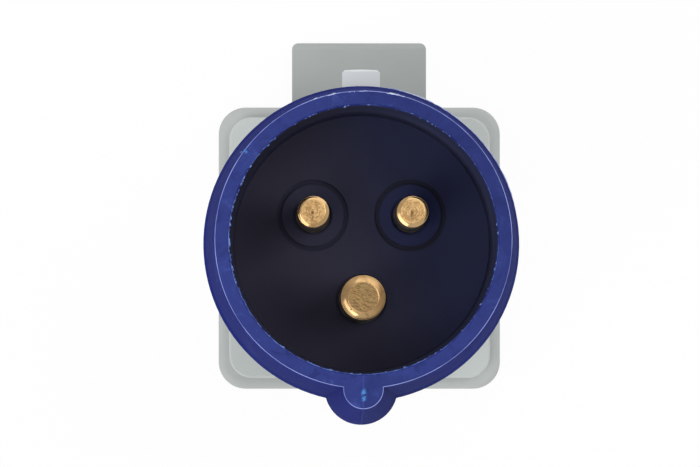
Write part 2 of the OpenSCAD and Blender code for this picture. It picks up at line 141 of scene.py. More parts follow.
class Look:
    # a node material, with short calls for the nodes that the looks share
    def __init__(self, name, metallic=0.0, roughness=0.5, specular=0.5):
        self.mat = bpy.data.materials.new(name)
        self.mat.use_nodes = True
        self.tree = self.mat.node_tree
        self.nodes = self.tree.nodes
        self.nodes.clear()
        out = self.nodes.new("ShaderNodeOutputMaterial")
        self.shader = self.nodes.new("ShaderNodeBsdfPrincipled")
        self.link(self.shader.outputs[0], out.inputs[0])
        self.shader.inputs["Metallic"].default_value = metallic
        self.shader.inputs["Roughness"].default_value = roughness
        self.shader.inputs["Specular IOR Level"].default_value = specular
        self.where = self.nodes.new("ShaderNodeTexCoord").outputs["Object"]

    def link(self, a, b):
        self.tree.links.new(a, b)

    def put(self, socket, value):
        if isinstance(value, bpy.types.NodeSocket):
            self.link(value, socket)
        else:
            socket.default_value = value

    def math(self, operation, a, b=None, clamp=False):
        node = self.nodes.new("ShaderNodeMath")
        node.operation = operation
        node.use_clamp = clamp
        for i, value in enumerate((a, b)):
            if value is not None:
                self.put(node.inputs[i], value)
        return node.outputs[0]

    def times(self, a, b):
        return self.math("MULTIPLY", a, b)

    def plus(self, a, b, clamp=False):
        return self.math("ADD", a, b, clamp)

    def minus(self, a, b):
        return self.math("SUBTRACT", a, b)

    def most(self, a, b):
        # the greater of two, or b alone where there is no a yet
        return b if a is None else self.math("MAXIMUM", a, b)

    def span(self, dx, dy):
        return self.math("SQRT", self.plus(self.times(dx, dx), self.times(dy, dy)))

    def ramp(self, value, low, high, toLow=0.0, toHigh=1.0):
        node = self.nodes.new("ShaderNodeMapRange")
        node.interpolation_type = "SMOOTHSTEP"
        for name, v in (("Value", value), ("From Min", low), ("From Max", high),
                        ("To Min", toLow), ("To Max", toHigh)):
            self.put(node.inputs[name], v)
        return node.outputs[0]

    def mix(self, factor, a, b):
        node = self.nodes.new("ShaderNodeMix")
        node.data_type = "RGBA"
        self.put(node.inputs[0], factor)
        self.put(node.inputs[6], a)
        self.put(node.inputs[7], b)
        return node.outputs[2]

    def tint(self, factor, colour, seen):
        return self.mix(factor, colour, rgb(*seen))

    def noise(self, scale, detail=4.0, rough=0.5, stretch=None, turned=0.0, distortion=0.0):
        place = self.where
        if stretch:
            mapping = self.nodes.new("ShaderNodeMapping")
            mapping.vector_type = "TEXTURE"          # turns first, then stretches
            mapping.inputs["Scale"].default_value = [1 / s for s in stretch]
            mapping.inputs["Rotation"].default_value = (0, 0, math.radians(turned))
            self.link(place, mapping.inputs["Vector"])
            place = mapping.outputs[0]
        node = self.nodes.new("ShaderNodeTexNoise")
        self.link(place, node.inputs["Vector"])
        node.inputs["Scale"].default_value = scale
        node.inputs["Detail"].default_value = detail
        node.inputs["Roughness"].default_value = rough
        node.inputs["Distortion"].default_value = distortion
        return node.outputs["Fac"]

    def axes(self):
        node = self.nodes.new("ShaderNodeSeparateXYZ")
        self.link(self.where, node.inputs[0])
        return node.outputs

    def facing(self):
        # upward part of the surface's own direction
        geometry = self.nodes.new("ShaderNodeNewGeometry")
        node = self.nodes.new("ShaderNodeSeparateXYZ")
        self.link(geometry.outputs["True Normal"], node.inputs[0])
        return node.outputs[2]

    def radius(self, x=0.0, y=0.0):
        # distance from an upright line at x and y, in metres
        ax = self.axes()
        return self.span(self.minus(ax[0], x), self.minus(ax[1], y))

    def bump(self, height, strength, distance=0.0001, after=None):
        node = self.nodes.new("ShaderNodeBump")
        node.inputs["Strength"].default_value = strength
        node.inputs["Distance"].default_value = distance
        self.put(node.inputs["Height"], height)
        if after is not None:
            self.link(after, node.inputs["Normal"])
        return node.outputs[0]

    def finish(self, colour=None, roughness=None, normal=None):
        for name, value in (("Base Color", colour), ("Roughness", roughness), ("Normal", normal)):
            if value is not None:
                self.put(self.shader.inputs[name], value)
        return self.mat


def rgb(r, g, b):
    # colour as seen, 0 to 255, to a shader's linear colour
    def linear(v):
        v = v / 255
        return v / 12.92 if v <= 0.04045 else ((v + 0.055) / 1.055) ** 2.4
    return (linear(r), linear(g), linear(b), 1.0)


# wall and shade are painted shade, edge is a painted highlight, and the cavity colours are painted shade and
# light, all on the one blue moulding
blueShell = {
    "face": (49, 60, 127), "wall": (26, 36, 114), "streak": (62, 76, 146), "edge": (152, 164, 230),
    "cloud": (38, 46, 98), "mottlePale": (68, 84, 156), "mottleDark": (33, 41, 94), "shade": (36, 44, 98),
    "cavity": (75, 81, 124), "cavityDeep": (81, 79, 98), "cavityCloud": (70, 69, 90),
    "lowWallLight": (84, 88, 120), "mouthWallShade": (24, 25, 36), "pad": (68, 76, 128), "groove": (68, 68, 90),
    "torn": (78, 134, 206),
    "tornSpots": ((0.1, -24.25, 0.5, 1.2), (-18.75, 13.75, 0.9, 0.45)),  # x, y, half width, half height
    "roughness": 0.5, "wallRoughness": 0.95, "specular": 0.06,
}


def blueSkin(look, ax, flat, cloud):
    # rim face against the drafted wall, with swirls, clouds and mottle; the wall is painted a darker blue than the
    # face, as painted shade on the side that takes less light
    colour = look.mix(flat, rgb(*blueShell["wall"]), rgb(*blueShell["face"]))
    # pale swirls where the melt flowed
    flow = look.noise(40, 4, 0.65, stretch=(1.6, 1.6, 0.25), distortion=0.6)
    colour = look.tint(look.ramp(flow, 0.5, 0.75, 0.0, 0.3), colour, blueShell["streak"])
    colour = look.tint(look.ramp(cloud, 0.35, 0.65, 0.3, 0.0), colour, blueShell["cloud"])
    # uneven skin of the moulded blue
    mottle = look.noise(270, 6, 0.72, distortion=0.7)
    onFace = look.ramp(flat, 0.0, 1.0, 0.1, 1.0)
    pale = look.times(onFace, look.ramp(mottle, 0.52, 0.68, 0.0, 0.5))
    colour = look.tint(pale, colour, blueShell["mottlePale"])
    deep = look.times(onFace, look.ramp(mottle, 0.48, 0.33, 0.0, 0.55))
    colour = look.tint(deep, colour, blueShell["mottleDark"])
    # painted shade: a shade darker to the upper right, where less light falls, and on the key's face right of its
    # weld line
    away = look.plus(ax[0], look.times(ax[1], 0.7))
    shade = look.ramp(away, 6 * mm, 26 * mm, 0.0, 0.5)
    keySide = look.times(look.ramp(ax[0], 0.0, 0.2 * mm), look.ramp(ax[1], -20.9 * mm, -21.6 * mm, 0.0, 0.35))
    return look.tint(look.most(shade, keySide), colour, blueShell["shade"])


def paintedBeadHighlight(look, r, z, up):
    # painted highlight along the bead on the mouth's outer edge, patchy, where the bead catches the light
    top = adapter["length"] * mm
    slope = look.times(look.ramp(up, 0.3, 0.5), look.ramp(up, 0.95, 0.85))
    high = look.times(look.ramp(z, top - 0.21 * mm, top - 0.16 * mm),
                      look.ramp(z, top - 0.05 * mm, top - 0.09 * mm))
    outer = look.ramp(r, 22.2 * mm, 22.4 * mm)
    patchy = look.ramp(look.noise(130, 3, 0.6), 0.35, 0.6, 0.45, 1.0)
    return look.times(look.times(look.times(high, slope), outer), patchy)


def weldLine(look, ax, cloud):
    # down the middle of the key, on its face and along its wall
    onKey = look.ramp(ax[1], -20.9 * mm, -21.3 * mm)
    sway = look.times(look.minus(cloud, 0.5), 0.3 * mm)
    aside = look.math("ABSOLUTE", look.plus(ax[0], sway))
    return look.times(look.ramp(aside, 0.14 * mm, 0.03 * mm), onKey)


def tornSpots(look, ax):
    # one on the key's face and one across the upper left edge
    top = adapter["length"] * mm
    torn = None
    for x, y, wide, tall in blueShell["tornSpots"]:
        dx = look.math("DIVIDE", look.minus(ax[0], x * mm), wide * mm)
        dy = look.math("DIVIDE", look.minus(ax[1], y * mm), tall * mm)
        crumbs = look.ramp(look.noise(1500, 5, 0.75, distortion=0.5), 0.47, 0.56)
        torn = look.most(torn, look.times(look.ramp(look.span(dx, dy), 1.15, 0.55), crumbs))
    return look.times(torn, look.ramp(ax[2], top - 4 * mm, top - 3 * mm))


def blueCavity(look, ax, cloud):
    # inside of the sleeve, all painted shade: a greyer, dimmer blue than the rim, greyer on the left away from the
    # light, darker on the floor than on the lower wall, which is painted lighter, and painted darker on the wall
    # near the mouth
    z = ax[2]
    length, floorHeight = adapter["length"], adapter["floorHeight"]
    across = look.plus(look.times(ax[0], 0.9), look.times(ax[1], 0.3))
    dark = look.mix(look.ramp(across, -8 * mm, 16 * mm), rgb(*blueShell["cavityDeep"]), rgb(*blueShell["cavity"]))
    dark = look.tint(look.ramp(cloud, 0.3, 0.7, 0.0, 0.25), dark, blueShell["cavityCloud"])
    # painted light on the lower wall
    lowWallLight = look.times(look.ramp(z, (floorHeight + 0.2) * mm, (floorHeight + 1.5) * mm),
                         look.ramp(z, (floorHeight + 27) * mm, (floorHeight + 11) * mm, 0.0, 0.9))
    dark = look.tint(lowWallLight, dark, blueShell["lowWallLight"])
    # painted shade on the wall near the mouth
    nearMouth = look.ramp(z, (floorHeight + 14) * mm, (length - 6) * mm, 0.0, 0.6)
    dark = look.tint(nearMouth, dark, blueShell["mouthWallShade"])
    # a pad and a groove round each live pin, on the floor only: the grooves painted darker as painted shade, the
    # pads painted lighter towards the right as painted light
    grooveShade, pads = None, None
    for x, y in livePlaces:
        ring = look.radius(x * mm, y * mm)
        band = look.times(look.ramp(ring, 4.7 * mm, 5.2 * mm), look.ramp(ring, 6.0 * mm, 5.5 * mm))
        grooveShade = look.most(grooveShade, band)
        pads = look.most(pads, look.ramp(ring, 5.1 * mm, 4.9 * mm))
    low = look.ramp(z, (floorHeight + 0.2) * mm, (floorHeight + 0.05) * mm)
    lit = look.ramp(ax[0], -6 * mm, 6 * mm, 0.1, 0.6)
    dark = look.tint(look.times(look.times(pads, low), lit), dark, blueShell["pad"])
    return look.tint(look.times(grooveShade, low), dark, blueShell["groove"])


def makeBlueShell():
    look = Look("blueShell", roughness=blueShell["roughness"], specular=blueShell["specular"])
    ax = look.axes()
    z = ax[2]
    r = look.radius()
    cloud = look.noise(70, 5, 0.6)
    fine = look.noise(900, 3, 0.6)
    top = adapter["length"] * mm
    up = look.facing()
    flat = look.ramp(up, 0.9, 0.98)
    colour = blueSkin(look, ax, flat, cloud)
    # painted highlight on the mouth's edge bead
    colour = look.tint(paintedBeadHighlight(look, r, z, up), colour, blueShell["edge"])
    colour = look.tint(look.times(weldLine(look, ax, cloud), 0.45), colour, blueShell["streak"])
    torn = tornSpots(look, ax)
    colour = look.tint(torn, colour, blueShell["torn"])
    # sliding scratches down the wall
    slide = look.ramp(look.noise(1000, 3, 0.7, stretch=(1, 1, 0.03)), 0.63, 0.72, 0.0, 0.35)
    onWall = look.minus(1.0, flat)
    slide = look.times(slide, look.times(look.ramp(z, 60 * mm, 76 * mm), onWall))
    colour = look.tint(slide, colour, blueShell["streak"])
    bore = adapter["boreRadius"]
    # inside the bore the painted cavity shade takes over
    inside = look.times(look.ramp(r, (bore + 0.16) * mm, bore * mm), look.ramp(z, top - 0.1 * mm, top - 0.6 * mm))
    colour = look.mix(inside, colour, blueCavity(look, ax, cloud))
    rough = look.ramp(fine, 0.2, 0.8, blueShell["roughness"] - 0.06, blueShell["roughness"] + 0.1)
    duller = look.times(onWall, blueShell["wallRoughness"] - blueShell["roughness"])
    rough = look.plus(rough, duller, clamp=True)
    normal = look.bump(fine, 0.15, 0.00003)
    normal = look.bump(cloud, 0.12, 0.0002, normal)
    normal = look.bump(torn, 0.6, 0.00012, normal)
    return look.finish(colour, rough, normal)


# thin flash, curls and scuffs where the blue moulding is cut, and pale painted highlights on its edges
blueFlash = {
    "pale": (92, 122, 192), "deep": (48, 62, 132), "burr": (116, 138, 204), "burrDeep": (58, 74, 148),
    "highlight": (206, 214, 244), "highlightDeep": (120, 134, 200), "roughness": 0.5,
}


def makeBlueFlash(name, deep, pale):
    look = Look(name, roughness=blueFlash["roughness"], specular=0.3)
    grain = look.noise(700, 4, 0.65)
    colour = look.mix(look.ramp(grain, 0.38, 0.62), rgb(*deep), rgb(*pale))
    return look.finish(colour, look.ramp(grain, 0.3, 0.7, 0.42, 0.65), look.bump(grain, 0.4, 0.00004))


# flange is the housing grey in painted shade, lug the housing grey in painted light
greyShell = {
    "housing": (198, 203, 201), "flange": (184, 188, 187), "lug": (230, 234, 234),
    "lid": (171, 175, 174), "insert": (206, 207, 202), "roughness": 0.5,
}


def makeGreyShell(name, colourSeen, isHousing=False):
    look = Look(name, roughness=greyShell["roughness"], specular=0.25)
    cloud = look.noise(55, 5, 0.6)
    fine = look.noise(1100, 3, 0.7)
    r, g, b = colourSeen
    colour = look.mix(look.ramp(cloud, 0.3, 0.75), rgb(r, g, b), rgb(r - 6, g - 5, b - 5))
    if isHousing:
        # painted shade: greyer round the flange; painted light: pale on the face of the lug
        ax = look.axes()
        colour = look.tint(look.ramp(ax[2], 9.4 * mm, 8.9 * mm), colour, greyShell["flange"])
        wearAndLight = look.times(look.ramp(ax[1], 21.6 * mm, 22.4 * mm), look.ramp(ax[2], 43.6 * mm, 44.6 * mm))
        colour = look.tint(look.times(wearAndLight, look.ramp(cloud, 0.2, 0.8, 1.0, 0.85)), colour, greyShell["lug"])
        # parting line of the mould, down both sides
        seam = look.times(look.ramp(look.math("ABSOLUTE", ax[1]), 0.12 * mm, 0.04 * mm),
                          look.ramp(look.math("ABSOLUTE", ax[0]), 20.2 * mm, 20.8 * mm))
        colour = look.mix(look.times(seam, 0.5), colour, rgb(r - 30, g - 29, b - 30))
    # fine dust held in the mould's texture
    dust = look.ramp(look.noise(260, 6, 0.75), 0.6, 0.8, 0.0, 0.16)
    colour = look.mix(dust, colour, rgb(r - 34, g - 33, b - 36))
    rough = look.ramp(fine, 0.2, 0.8, greyShell["roughness"] - 0.08, greyShell["roughness"] + 0.12)
    normal = look.bump(fine, 0.25, 0.00004)
    normal = look.bump(cloud, 0.1, 0.0002, normal)
    if isHousing:
        normal = look.bump(seam, 0.5, 0.00006, normal)
    return look.finish(colour, rough, normal)


brass = {
    "bright": (200, 167, 120), "warm": (176, 140, 94), "dull": (116, 86, 58), "tarnish": (74, 54, 40),
    "parted": (198, 162, 112), "partedDark": (160, 126, 82), "filed": (156, 129, 87), "filedDark": (82, 63, 43),
    "shaft": (168, 156, 140), "shaftDark": (136, 124, 110), "roughness": 0.17, "shaftRoughness": 0.5,
}


def shoulderStreaks(look, ax, ring, x, y, colour):
    # brown streaks round the shoulder, its left and right sides painted darker as a painted reflection, and one
    # pit in it
    streak = look.ramp(look.noise(210, 4, 0.6, distortion=1.4), 0.5, 0.66, 0.0, 0.7)
    sideReflection = look.math("DIVIDE", look.minus(ax[0], x * mm), look.most(ring, 0.5 * mm))
    streak = look.most(streak, look.ramp(look.math("ABSOLUTE", sideReflection), 0.5, 0.95, 0.0, 0.5))
    colour = look.tint(streak, colour, brass["dull"])
    pit = look.ramp(look.radius((x - 1.93) * mm, (y - 1.85) * mm), 0.16 * mm, 0.07 * mm)
    return look.tint(pit, colour, brass["tarnish"])


def filedFace(look):
    # end face filed across: fine broken scratches, running down to the right
    marks = look.noise(900, 8, 0.8, stretch=(1.0, 4.5, 1.0), turned=-26, distortion=1.2)
    second = look.noise(640, 7, 0.8, stretch=(1.0, 6.0, 1.0), turned=-12, distortion=1.0)
    scratch = look.most(look.ramp(marks, 0.52, 0.44), look.ramp(second, 0.48, 0.4))
    height = look.minus(1.0, scratch)
    patch = look.ramp(look.noise(300, 4, 0.6, distortion=1.0), 0.35, 0.65)
    plain = look.mix(patch, rgb(*brass["filed"]), rgb(*brass["partedDark"]))
    return look.tint(look.times(scratch, 0.75), plain, brass["filedDark"]), height


def partedFace(look, ax, ring, x, y, speck):
    # end face with rings from the parting tool, a nub in the middle and a smear below it
    wobble = look.plus(ring, look.times(look.noise(560, 3, 0.6), 0.45 * mm))
    rings = look.math("SINE", look.times(wobble, 15500.0))
    broken = look.ramp(look.noise(700, 4, 0.7, distortion=0.5), 0.36, 0.6)
    height = look.plus(look.times(look.times(rings, broken), 0.35), speck)
    plain = look.mix(look.ramp(speck, 0.38, 0.62), rgb(*brass["parted"]), rgb(*brass["partedDark"]))
    inward = look.ramp(ring, 1.9 * mm, 0.5 * mm, 0.12, 0.6)
    groove = look.times(look.ramp(rings, 0.3, 0.95), look.times(broken, inward))
    nub = look.times(look.ramp(look.radius((x - 0.12) * mm, (y - 0.14) * mm), 0.36 * mm, 0.12 * mm), 0.85)
    dx = look.times(look.minus(ax[0], (x - 0.16) * mm), 2.6)
    dy = look.minus(ax[1], (y - 0.75) * mm)
    smear = look.ramp(look.span(dx, dy), 0.85 * mm, 0.2 * mm)
    crumbs = look.ramp(look.noise(1300, 4, 0.7, distortion=0.8), 0.42, 0.58)
    stain = look.most(nub, look.times(smear, crumbs))
    blots = look.ramp(look.noise(520, 5, 0.75, distortion=0.9), 0.55, 0.7, 0.0, 0.4)
    stain = look.most(look.most(stain, groove), blots)
    return look.tint(stain, plain, brass["tarnish"]), height


def makeTurnedBrass(name, x, y, flatRadius, tipHeight, filed):
    look = Look(name, metallic=1.0, roughness=brass["roughness"])
    cloud = look.noise(230, 5, 0.65)
    speck = look.noise(1900, 4, 0.7, distortion=0.4)
    ax = look.axes()
    z = ax[2]
    ring = look.radius(x * mm, y * mm)
    # rounded shoulder, bright from the mating contacts
    colour = look.mix(look.ramp(cloud, 0.3, 0.7), rgb(*brass["bright"]), rgb(*brass["warm"]))
    colour = look.tint(look.ramp(speck, 0.62, 0.75, 0.0, 0.5), colour, brass["dull"])
    if filed:
        colour = shoulderStreaks(look, ax, ring, x, y, colour)
    # shaft below the shoulder, painted light: a greyer, less metallic finish so that it shows lighter in the
    # cavity's shade
    below = look.ramp(z, (tipHeight - 0.9) * mm, (tipHeight - 2.4) * mm)
    drawn = look.ramp(look.noise(420, 5, 0.65, stretch=(1, 1, 0.35)), 0.35, 0.65)
    colour = look.mix(below, colour, look.mix(drawn, rgb(*brass["shaft"]), rgb(*brass["shaftDark"])))
    onTip = look.times(look.ramp(z, (tipHeight - 0.12) * mm, (tipHeight - 0.08) * mm),
                       look.ramp(ring, (flatRadius + 0.04) * mm, (flatRadius - 0.08) * mm))
    plain, face = filedFace(look) if filed else partedFace(look, ax, ring, x, y, speck)
    colour = look.mix(onTip, colour, plain)
    # rings from the lathe along the shaft
    feed = look.math("SINE", look.times(z, 26000.0))
    height = look.plus(look.times(onTip, face), look.times(look.minus(1.0, onTip), look.times(feed, 0.1)))
    rough = look.ramp(cloud, 0.3, 0.75, brass["roughness"] - 0.05, brass["roughness"] + 0.08)
    rough = look.plus(rough, look.times(onTip, 0.22))
    rough = look.plus(rough, look.times(below, brass["shaftRoughness"] - brass["roughness"]))
    look.put(look.shader.inputs["Metallic"], look.minus(1.0, look.times(below, 0.7)))
    return look.finish(colour, rough, look.bump(height, 0.45, 0.00005))


strip = {"bright": (226, 196, 138), "warm": (198, 160, 102), "rolled": (150, 116, 72), "roughness": 0.32}


def makeStampedBrass(name):
    look = Look(name, metallic=1.0, roughness=strip["roughness"])
    cloud = look.noise(260, 5, 0.6)
    rolled = look.noise(700, 4, 0.6, stretch=(1, 1, 8))
    colour = look.mix(look.ramp(cloud, 0.3, 0.7), rgb(*strip["bright"]), rgb(*strip["warm"]))
    colour = look.tint(look.ramp(rolled, 0.55, 0.75, 0.0, 0.5), colour, strip["rolled"])
    return look.finish(colour, look.ramp(cloud, 0.3, 0.75, 0.26, 0.42), look.bump(rolled, 0.2, 0.00003))


steel = {"plated": (190, 190, 188), "platedRoughness": 0.3, "spring": (160, 160, 160), "springRoughness": 0.35}


def makeSteel(name, seen, rough):
    look = Look(name, metallic=1.0, roughness=rough)
    brushed = look.noise(500, 4, 0.6, stretch=(1, 1, 6))
    r, g, b = seen
    colour = look.mix(look.ramp(brushed, 0.3, 0.7), rgb(r, g, b), rgb(r - 36, g - 36, b - 34))
    return look.finish(colour, look.ramp(brushed, 0.3, 0.7, rough, rough + 0.15), look.bump(brushed, 0.2, 0.00003))


rubber = {"dark": (30, 30, 31), "wearAndLight": (46, 46, 47), "roughness": 0.75}


def makeRubber(name):
    look = Look(name, roughness=rubber["roughness"], specular=0.3)
    grain = look.noise(1400, 3, 0.6)
    colour = look.mix(look.ramp(grain, 0.3, 0.7), rgb(*rubber["dark"]), rgb(*rubber["wearAndLight"]))
    return look.finish(colour, look.ramp(grain, 0.3, 0.7, 0.68, 0.85), look.bump(grain, 0.3, 0.00004))


blueLook = makeBlueShell()
flashLook = makeBlueFlash("blueFlash", blueFlash["deep"], blueFlash["pale"])
burrLook = makeBlueFlash("blueBurr", blueFlash["burrDeep"], blueFlash["burr"])
# pale painted highlights for the collar's edge and the bright bits on the top edge
paleHighlightLook = makeBlueFlash("paintedHighlight", blueFlash["highlightDeep"], blueFlash["highlight"])
housingLook = makeGreyShell("housingGrey", greyShell["housing"], isHousing=True)
lidLook = makeGreyShell("lidGrey", greyShell["lid"])
insertLook = makeGreyShell("insertGrey", greyShell["insert"])
stripLook = makeStampedBrass("stampedBrass")
steelLook = makeSteel("platedSteel", steel["plated"], steel["platedRoughness"])
springLook = makeSteel("springSteel", steel["spring"], steel["springRoughness"])
rubberLook = makeRubber("sealRubber")
print("finishes made")

looks = {
    "plug_shroud": blueLook, "housing": housingLook, "lid": lidLook, "socket_insert": insertLook,
    "pin_retainer": insertLook, "line_pin": stripLook, "neutral_pin": stripLook, "earth_pin": stripLook,
    "line_link": stripLook, "neutral_link": stripLook, "earth_yoke": stripLook, "line_contact": stripLook,
    "neutral_contact": stripLook, "retainer_screws": steelLook, "terminal_screws": steelLook,
    "clamp_screws": steelLook, "hinge_pin": steelLook, "lid_spring": springLook,
    "neck_seal": rubberLook, "lid_gasket": rubberLook,
}
for name, look in looks.items():
    nodes[name].data.materials.clear()
    nodes[name].data.materials.append(look)

# turned pins, from the tapped tail to the crowned tip
pins = {
    "live": {"radius": 2.5, "tip": 84.0, "face": 1.9, "slopes": (21, 31), "corner": 0.08},
    "earth": {"radius": 3.5, "tip": 89.0, "face": 2.36, "slopes": (14, 40), "corner": 0.05},
    "tail": 43.0, "tailRadius": 2.4, "flangeLow": 46.6, "flangeHigh": 49.0, "flangeOut": 1.5,
    "press": 0.2, "fittedTop": 52.8, "tapRadius": 1.55, "tapDepth": 6.0,
}


def shoulder(pin):
    # from the flat end face outwards: a crowned shoulder, then a small rounded corner
    steps = 12
    radius, corner, slopes = pin["radius"], pin["corner"], pin["slopes"]
    points = []
    r, z = pin["face"], pin["tip"]
    width = (radius - corner - pin["face"]) / steps
    for i in range(steps):
        slope = math.radians(slopes[0] + (slopes[1] - slopes[0]) * ((i + 0.5) / steps))
        r += width
        z -= width * math.tan(slope)
        points.append((r, z))
    for turnDegrees in (50, 25):
        turnAngle = math.radians(turnDegrees)
        points.append((radius - corner + corner * math.cos(turnAngle), z - corner * (1 - math.sin(turnAngle))))
    return points


def pinFoot(radius):
    # tapped tail, flange and the fitted length in the blue floor
    tail, tap, bevel = pins["tail"], pins["tapRadius"], 0.15
    low, high = pins["flangeLow"], pins["flangeHigh"]
    out, fitted = radius + pins["flangeOut"], radius + pins["press"]
    return [(0, tail + pins["tapDepth"]), (tap, tail + pins["tapDepth"]), (tap, tail + 0.3), (tap + 0.3, tail),
            (pins["tailRadius"] - 0.2, tail), (pins["tailRadius"], tail + 0.2), (pins["tailRadius"], low),
            (out - bevel, low), (out, low + bevel), (out, high - bevel), (out - bevel, high),
            (fitted, high), (fitted, pins["fittedTop"] - 0.2), (radius, pins["fittedTop"])]


def pinProfile(pin, parted):
    radius, tip, face = pin["radius"], pin["tip"], pin["face"]
    points = pinFoot(radius)
    z = pins["fittedTop"] + 1.0
    wave = 0.006
    while z < tip - 1.5:                 # shaft, with the faintest waves from turning
        points.append((radius - wave + wave * math.sin(z * 7.0), z))
        z += 0.8
    outward = shoulder(pin)
    points.append((radius, outward[-1][1] - pin["corner"]))
    points += outward[::-1]
    points.append((face, tip))
    if parted:
        # shallow rings left by the parting tool, round a small nub
        r = face - 0.12
        step = 0
        while r > 0.42:
            points.append((r, tip - 0.016 - (0.014 if step % 2 else 0.0) - 0.02 * (1 - r / face)))
            r -= 0.13
            step += 1
        points += [(0.34, tip - 0.06), (0.24, tip - 0.02), (0.12, tip - 0.005), (0, tip)]
    else:
        points += [(face - 0.1, tip - 0.012), (face * 0.5, tip - 0.02), (0, tip - 0.02)]
    return points


def makePin(node, lookName, pin, x, y, steps, isEarth):
    profile = pinProfile(pin, not isEarth)
    piece = turn(node + "_turned", profile, steps, "body", (x, y, 0))
    smoothByAngle(piece, 35)
    piece.data.materials.append(makeTurnedBrass(lookName, x, y, pin["face"], pin["tip"], isEarth))
    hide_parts(node)


def makePins():
    for node, (x, y) in zip(("line_pin", "neutral_pin"), livePlaces):
        makePin(node, node + "Brass", pins["live"], x, y, 96, False)
    makePin("earth_pin", "earthPinBrass", pins["earth"], 0, -adapter["pinCircle"], 112, True)


makePins()
print("pins turned")

# torsion spring: close turns of wire and two straight legs
spring = {"wire": 0.25, "coil": 1.35, "turns": 3, "pitch": 0.58, "axisY": -25.4, "axisZ": 7.4,
          "legUp": 9.0, "legDown": 2.0, "legY": -23.7, "legRoom": 0.05}


def makeSpring():
    span = spring["turns"] * spring["pitch"]
    points = [Vector((-span / 2, spring["legY"], spring["legDown"]))]
    steps = 28
    total = spring["turns"] * steps
    for i in range(total + 1):
        # both ends of the coil face the flange, in line with their legs
        angle = 2 * math.pi * i / steps
        points.append(Vector((-span / 2 + span * i / total, spring["axisY"] + spring["coil"] * math.cos(angle),
                              spring["axisZ"] + spring["coil"] * math.sin(angle))))
    points[1:1] = [points[0].lerp(points[1], t) for t in (0.3, 0.6, 0.85)]
    last = points[-1]
    tip = Vector((span / 2, spring["legY"], spring["legUp"]))
    points += [last.lerp(tip, t) for t in (0.3, 0.6, 1.0)]
    piece = tube("torsionSpring", points, [spring["wire"]] * len(points), 12, None)
    piece.data.materials.append(springLook)
    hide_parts("lid_spring")
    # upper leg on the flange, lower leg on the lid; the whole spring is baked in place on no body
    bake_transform(piece)


makeSpring()
print("spring wound")

# flash, a lifted curl, scuffs and painted highlights on the blue moulding
marks = {
    "flashRadius": 20.92, "flashSize": 0.07, "flashSteps": 900, "burrs": 170,
    "collarRadius": 25.45, "collarTop": 49.4, "highlightFrom": (12, 84), "highlightSize": 0.11,
    "scuffAt": (0.1, -24.2),
    "scuffs": ((0.0, 0.9, 0.06), (0.15, 0.3, 0.11), (-0.12, -0.1, 0.1),
               (0.2, -0.5, 0.1), (0.35, -0.9, 0.07), (-0.1, -1.1, 0.05)),      # x and y from scuffAt, size
    "curlAngle": 144.0,
    "curlPath": ((23.6, -0.3, 2.6), (23.4, -0.1, 1.2), (23.15, 0, 0.2),
                 (22.7, 0.2, 0.02), (22.2, 0.4, 0.03)),      # radius, y added, depth below the mouth
    "curlSize": 0.12,
    "edgeBits": 14, "edgeBitRadius": 23.12, "edgeBitsFrom": (70, 112),
}


def roundAt(radius, angle, z):
    return Vector((radius * math.cos(angle), radius * math.sin(angle), z))


def ragged(i, count, seedValue, waves):
    # smooth closed random line, from a few sine waves
    place = random.Random(seedValue)
    value = 0.0
    for k in range(1, waves):
        phase = place.uniform(0, 6.28)
        value += math.sin(2 * math.pi * k * i / count + phase) * place.uniform(0.2, 1.0) / math.sqrt(k)
    return value


def makeFlash():
    # thin burr along the inner edge of the mouth, thicker on the left and below
    count = marks["flashSteps"]
    points, radii = [], []
    top = adapter["length"]
    for i in range(count):
        angle = 2 * math.pi * i / count
        weight = 0.55 + 0.45 * math.cos(angle - math.radians(205))
        wave = ragged(i, count, 5, 90) * 0.03 * weight
        size = marks["flashSize"] * (0.3 + 0.7 * weight) * max(0.15, 1.0 + 0.9 * ragged(i, count, 9, 120) * 0.5)
        z = top - 0.1 + 0.02 * ragged(i, count, 3, 40) - size * 0.3
        points.append(roundAt(marks["flashRadius"] + 0.1 - wave, angle, z))
        radii.append(min(size, 0.1))
    piece = tube("mouthFlash", points, radii, 8, "body", closed=True)
    piece.data.materials.append(flashLook)


def makeCollarHighlight():
    # painted highlight: a pale line along the collar's upper edge, on one side only
    steps, taper = 140, 14
    low, high = (math.radians(a) for a in marks["highlightFrom"])
    points, radii = [], []
    for i in range(steps + 1):
        points.append(roundAt(marks["collarRadius"], low + (high - low) * i / steps, marks["collarTop"]))
        ends = min(1.0, i / taper, (steps - i) / taper)
        radii.append(marks["highlightSize"] * max(0.12, ends * (1.0 + 0.25 * ragged(i, 200, 17, 40))))
    piece = tube("collarHighlight", points, radii, 8, "body")
    piece.data.materials.append(paleHighlightLook)


def makeBurrs():
    # crumbs of torn flash along the same edge
    place = random.Random(44)
    work = bmesh.new()
    top = adapter["length"]
    for n in range(marks["burrs"]):
        angle = math.radians(place.gauss(195, 62) if n % 3 else place.uniform(0, 360))
        size = place.uniform(0.05, 0.11) * (1.3 if math.cos(angle) < -0.6 else 1.0)
        length = place.uniform(1.0, 3.2)
        r = marks["flashRadius"] - place.uniform(-0.12, 0.12)
        seat = Matrix.Translation((r * mm, 0, (top - 0.1 - size * 0.4) * mm))
        shape = Matrix.Rotation(angle, 4, "Z") @ seat @ Matrix.Diagonal((0.9, length, 0.6, 1))
        made = bmesh.ops.create_icosphere(work, subdivisions=1, radius=size * mm, matrix=shape)
        for v in made["verts"]:
            push = Vector((place.uniform(-1, 1), place.uniform(-1, 1), place.uniform(-1, 0.4)))
            v.co += push * size * 0.22 * mm
    mesh = bpy.data.meshes.new("mouthBurrs")
    work.to_mesh(mesh)
    work.free()
    piece = newObject("mouthBurrs", mesh, "body")
    piece.data.materials.append(burrLook)


